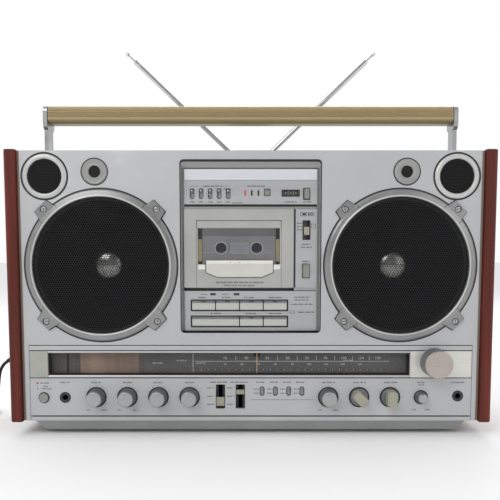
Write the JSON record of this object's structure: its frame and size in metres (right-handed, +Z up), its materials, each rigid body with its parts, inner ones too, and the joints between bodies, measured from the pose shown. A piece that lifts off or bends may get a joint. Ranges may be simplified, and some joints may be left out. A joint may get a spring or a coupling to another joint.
{
  "type": "radio cassette recorder",
  "caption": "Wide two-speaker stereo radio cassette recorder with wooden sides, folding handle, swivelling telescopic antennas, cassette deck, tuner dial and detachable mains lead.",
  "frame": {"origin": "centre of the recorder's footprint at floor level, measured without the mains lead", "axes": "+X to the viewer's right along the front, +Y from the front to the back, +Z up"},
  "size_m": [0.7136, 0.1864, 0.5095],
  "materials": {
    "cabinet_silver": "worn silver paint over moulded plastic",
    "cabinet_grey": "grained grey moulded plastic",
    "bright_trim": "bright brushed trim",
    "wood_veneer": "satin reddish-brown mahogany veneer, grain upright",
    "chrome": "polished chrome plating",
    "satin_aluminium": "satin turned aluminium",
    "gold_aluminium": "khaki-gold anodised ribbed extrusion",
    "mesh_black": "black painted expanded mesh",
    "speaker_cone": "black paper cone and soft surround",
    "speaker_frame": "stamped basket and magnet",
    "chassis_metal": "plated sheet metal with boards and transformer",
    "deck_silver": "warm satin silver panels",
    "key_silver": "satin silver keys",
    "cream_plastic": "aged cream-silver moulded plastic",
    "black_plastic": "black moulded plastic",
    "smoke_window": "smoked clear acrylic",
    "orange_pointer": "orange pointer",
    "cord_rubber": "black flexible cord sheath"
  },
  "bodies": {
    "root": {"front_cabinet": "cabinet_silver", "rear_cabinet": "cabinet_grey", "side_panel_left": "wood_veneer", "side_panel_right": "wood_veneer", "woofer_grille_left": "mesh_black", "woofer_grille_right": "mesh_black", "woofer_left": "speaker_frame", "woofer_right": "speaker_frame", "inner_chassis": "chassis_metal", "deck_fascia": "deck_silver", "dial_window": "smoke_window", "inlet_plug": "black_plastic", "mains_cord": "cord_rubber", "cord_coil": "cord_rubber", "mains_plug": "black_plastic"},
    "handle": {"handle_grip": "gold_aluminium", "handle_arm_left": "chrome", "handle_arm_right": "chrome"},
    "cassette_door": {"cassette_door": "deck_silver"},
    "eject_button": {"eject_button": "deck_silver"},
    "timer_slide": {"timer_slide": "cream_plastic"},
    "memory_button": {"memory_button": "key_silver"},
    "counter_reset_button": {"counter_reset_button": "key_silver"},
    "dial_pointer": {"dial_pointer": "orange_pointer"},
    "tuning_knob": {"tuning_knob": "satin_aluminium"},
    "function_selector": {"function_selector": "cream_plastic"},
    "band_selector": {"band_selector": "cream_plastic"},
    "mixing_knob": {"mixing_knob": "satin_aluminium"},
    "power_button": {"power_button": "satin_aluminium"},
    "noise_reduction_slide": {"noise_reduction_slide": "cream_plastic"},
    "tape_selector_slide": {"tape_selector_slide": "cream_plastic"},
    "reel_spindle_left": {"reel_spindle_left": "black_plastic"},
    "reel_spindle_right": {"reel_spindle_right": "black_plastic"},
    "antenna_knuckle_left": {"antenna_knuckle_left": "chrome"},
    "antenna_tube_left": {"antenna_tube_left": "chrome"},
    "antenna_rod_left": {"antenna_rod_left": "chrome"},
    "antenna_knuckle_right": {"antenna_knuckle_right": "chrome"},
    "antenna_tube_right": {"antenna_tube_right": "chrome"},
    "antenna_rod_right": {"antenna_rod_right": "chrome"},
    "rewind_key": {"rewind_key": "key_silver"},
    "play_key": {"play_key": "key_silver"},
    "fast_forward_key": {"fast_forward_key": "key_silver"},
    "record_key": {"record_key": "key_silver"},
    "stop_key": {"stop_key": "key_silver"},
    "pause_key": {"pause_key": "key_silver"},
    "mute_key": {"mute_key": "key_silver"},
    "volume_knob": {"volume_knob": "satin_aluminium"},
    "balance_knob": {"balance_knob": "satin_aluminium"},
    "bass_knob": {"bass_knob": "satin_aluminium"},
    "treble_knob": {"treble_knob": "satin_aluminium"},
    "record_level_knob": {"record_level_knob": "satin_aluminium"},
    "deck_switch_1": {"deck_switch_1": "chrome"},
    "deck_switch_2": {"deck_switch_2": "chrome"},
    "deck_switch_3": {"deck_switch_3": "chrome"},
    "deck_switch_4": {"deck_switch_4": "chrome"},
    "deck_switch_5": {"deck_switch_5": "chrome"},
    "panel_switch_1": {"panel_switch_1": "chrome"},
    "panel_switch_2": {"panel_switch_2": "chrome"},
    "panel_switch_3": {"panel_switch_3": "chrome"},
    "panel_switch_4": {"panel_switch_4": "chrome"}
  },
  "joints": [
    {"name": "handle_fold", "type": "hinge", "parent": "root", "child": "handle", "pos_m": [0, -0.00275, 0.322], "axis": [-1, 0, 0], "range_deg": [0, 57]},
    {"name": "antenna_left_swing", "type": "hinge", "parent": "root", "child": "antenna_knuckle_left", "pos_m": [-0.009, 0.08825, 0.3488], "axis": [0, 1, 0], "range_deg": [-43, 46]},
    {"name": "antenna_left_tilt", "type": "hinge", "parent": "antenna_knuckle_left", "child": "antenna_tube_left", "pos_m": [-0.009, 0.08825, 0.3488], "axis": [-0.6871, 0, -0.7266], "range_deg": [0, 85]},
    {"name": "antenna_left_extend", "type": "slide", "parent": "antenna_tube_left", "child": "antenna_rod_left", "axis": [-0.7266, 0, 0.6871], "range_m": [0, 0.185]},
    {"name": "antenna_right_swing", "type": "hinge", "parent": "root", "child": "antenna_knuckle_right", "pos_m": [0.009, 0.08825, 0.3488], "axis": [0, -1, 0], "range_deg": [-43, 46]},
    {"name": "antenna_right_tilt", "type": "hinge", "parent": "antenna_knuckle_right", "child": "antenna_tube_right", "pos_m": [0.009, 0.08825, 0.3488], "axis": [-0.6871, 0, 0.7266], "range_deg": [0, 85]},
    {"name": "antenna_right_extend", "type": "slide", "parent": "antenna_tube_right", "child": "antenna_rod_right", "axis": [0.7266, 0, 0.6871], "range_m": [0, 0.185]},
    {"name": "cassette_door_open", "type": "hinge", "parent": "root", "child": "cassette_door", "pos_m": [-0.0141, -0.06175, 0.183], "axis": [1, 0, 0], "range_deg": [0, 35]},
    {"name": "eject_push", "type": "slide", "parent": "root", "child": "eject_button", "axis": [0, 1, 0], "range_m": [0, 0.003], "stiffness_N_per_m": 300, "springref_m": -0.0015},
    {"name": "rewind_key_push", "type": "slide", "parent": "root", "child": "rewind_key", "axis": [0, 1, 0], "range_m": [0, 0.002], "stiffness_N_per_m": 500, "springref_m": -0.001},
    {"name": "play_key_push", "type": "slide", "parent": "root", "child": "play_key", "axis": [0, 1, 0], "range_m": [0, 0.002], "stiffness_N_per_m": 500, "springref_m": -0.001},
    {"name": "fast_forward_key_push", "type": "slide", "parent": "root", "child": "fast_forward_key", "axis": [0, 1, 0], "range_m": [0, 0.002], "stiffness_N_per_m": 500, "springref_m": -0.001},
    {"name": "record_key_push", "type": "slide", "parent": "root", "child": "record_key", "axis": [0, 1, 0], "range_m": [0, 0.002], "stiffness_N_per_m": 500, "springref_m": -0.001},
    {"name": "stop_key_push", "type": "slide", "parent": "root", "child": "stop_key", "axis": [0, 1, 0], "range_m": [0, 0.002], "stiffness_N_per_m": 500, "springref_m": -0.001},
    {"name": "pause_key_push", "type": "slide", "parent": "root", "child": "pause_key", "axis": [0, 1, 0], "range_m": [0, 0.002], "stiffness_N_per_m": 500, "springref_m": -0.001},
    {"name": "mute_key_push", "type": "slide", "parent": "root", "child": "mute_key", "axis": [0, 1, 0], "range_m": [0, 0.002], "stiffness_N_per_m": 500, "springref_m": -0.001},
    {"name": "memory_button_push", "type": "slide", "parent": "root", "child": "memory_button", "axis": [0, 1, 0], "range_m": [0, 0.0012], "stiffness_N_per_m": 300, "springref_m": -0.001},
    {"name": "counter_reset_push", "type": "slide", "parent": "root", "child": "counter_reset_button", "axis": [0, 1, 0], "range_m": [0, 0.002], "stiffness_N_per_m": 300, "springref_m": -0.001},
    {"name": "power_button_push", "type": "slide", "parent": "root", "child": "power_button", "axis": [0, 1, 0], "range_m": [0, 0.003], "stiffness_N_per_m": 400, "springref_m": -0.0015},
    {"name": "timer_slide_move", "type": "slide", "parent": "root", "child": "timer_slide", "axis": [0, 0, 1], "range_m": [-0.0045, 0.0065]},
    {"name": "noise_reduction_slide_move", "type": "slide", "parent": "root", "child": "noise_reduction_slide", "axis": [0, 0, 1], "range_m": [-0.003, 0.015]},
    {"name": "tape_selector_slide_move", "type": "slide", "parent": "root", "child": "tape_selector_slide", "axis": [0, 0, 1], "range_m": [-0.017, 0.006]},
    {"name": "deck_switch_1_flip", "type": "hinge", "parent": "root", "child": "deck_switch_1", "pos_m": [-0.069, -0.05895, 0.2907], "axis": [1, 0, 0], "range_deg": [0, 36]},
    {"name": "deck_switch_2_flip", "type": "hinge", "parent": "root", "child": "deck_switch_2", "pos_m": [-0.0584, -0.05895, 0.2907], "axis": [1, 0, 0], "range_deg": [0, 36]},
    {"name": "deck_switch_3_flip", "type": "hinge", "parent": "root", "child": "deck_switch_3", "pos_m": [-0.0478, -0.05895, 0.2907], "axis": [1, 0, 0], "range_deg": [0, 36]},
    {"name": "deck_switch_4_flip", "type": "hinge", "parent": "root", "child": "deck_switch_4", "pos_m": [-0.0372, -0.05895, 0.2907], "axis": [1, 0, 0], "range_deg": [0, 36]},
    {"name": "deck_switch_5_flip", "type": "hinge", "parent": "root", "child": "deck_switch_5", "pos_m": [-0.0266, -0.05895, 0.2907], "axis": [1, 0, 0], "range_deg": [0, 36]},
    {"name": "panel_switch_1_flip", "type": "hinge", "parent": "root", "child": "panel_switch_1", "pos_m": [0.0137, -0.06415, 0.056], "axis": [1, 0, 0], "range_deg": [0, 36]},
    {"name": "panel_switch_2_flip", "type": "hinge", "parent": "root", "child": "panel_switch_2", "pos_m": [0.0296, -0.06415, 0.056], "axis": [1, 0, 0], "range_deg": [0, 36]},
    {"name": "panel_switch_3_flip", "type": "hinge", "parent": "root", "child": "panel_switch_3", "pos_m": [0.0455, -0.06415, 0.056], "axis": [1, 0, 0], "range_deg": [0, 36]},
    {"name": "panel_switch_4_flip", "type": "hinge", "parent": "root", "child": "panel_switch_4", "pos_m": [0.0614, -0.06415, 0.056], "axis": [1, 0, 0], "range_deg": [0, 36]},
    {"name": "tuning_knob_turn", "type": "hinge", "parent": "root", "child": "tuning_knob", "pos_m": [0.2187, -0.07275, 0.091], "axis": [0, 1, 0], "range_deg": [-160, 1280]},
    {"name": "dial_pointer_travel", "type": "slide", "parent": "root", "child": "dial_pointer", "axis": [1, 0, 0], "range_m": [-0.018, 0.143]},
    {"name": "volume_knob_turn", "type": "hinge", "parent": "root", "child": "volume_knob", "pos_m": [-0.1851, -0.07275, 0.0487], "axis": [0, 1, 0], "range_deg": [-150, 150]},
    {"name": "balance_knob_turn", "type": "hinge", "parent": "root", "child": "balance_knob", "pos_m": [-0.1478, -0.07275, 0.0487], "axis": [0, 1, 0], "range_deg": [-150, 150]},
    {"name": "bass_knob_turn", "type": "hinge", "parent": "root", "child": "bass_knob", "pos_m": [-0.1105, -0.07275, 0.0487], "axis": [0, 1, 0], "range_deg": [-150, 150]},
    {"name": "treble_knob_turn", "type": "hinge", "parent": "root", "child": "treble_knob", "pos_m": [-0.0732, -0.07275, 0.0487], "axis": [0, 1, 0], "range_deg": [-150, 150]},
    {"name": "record_level_knob_turn", "type": "hinge", "parent": "root", "child": "record_level_knob", "pos_m": [0.093, -0.07275, 0.0487], "axis": [0, 1, 0], "range_deg": [-150, 150]},
    {"name": "function_selector_turn", "type": "hinge", "parent": "root", "child": "function_selector", "pos_m": [0.13, -0.07275, 0.0487], "axis": [0, 1, 0], "range_deg": [0, 90]},
    {"name": "band_selector_turn", "type": "hinge", "parent": "root", "child": "band_selector", "pos_m": [0.167, -0.07275, 0.0487], "axis": [0, 1, 0], "range_deg": [-45, 45]},
    {"name": "mixing_knob_turn", "type": "hinge", "parent": "root", "child": "mixing_knob", "pos_m": [0.204, -0.07275, 0.0487], "axis": [0, 1, 0], "range_deg": [-150, 150]},
    {"name": "reel_left_spin", "type": "hinge", "parent": "root", "child": "reel_spindle_left", "pos_m": [-0.03525, -0.07275, 0.2269], "axis": [0, 1, 0], "continuous": true},
    {"name": "reel_right_spin", "type": "hinge", "parent": "root", "child": "reel_spindle_right", "pos_m": [0.00725, -0.07275, 0.2269], "axis": [0, 1, 0], "continuous": true}
  ],
  "couplings": [
    {"joint": "dial_pointer_travel", "follows": "tuning_knob_turn", "m_per_rad": 0.006366}
  ]
}
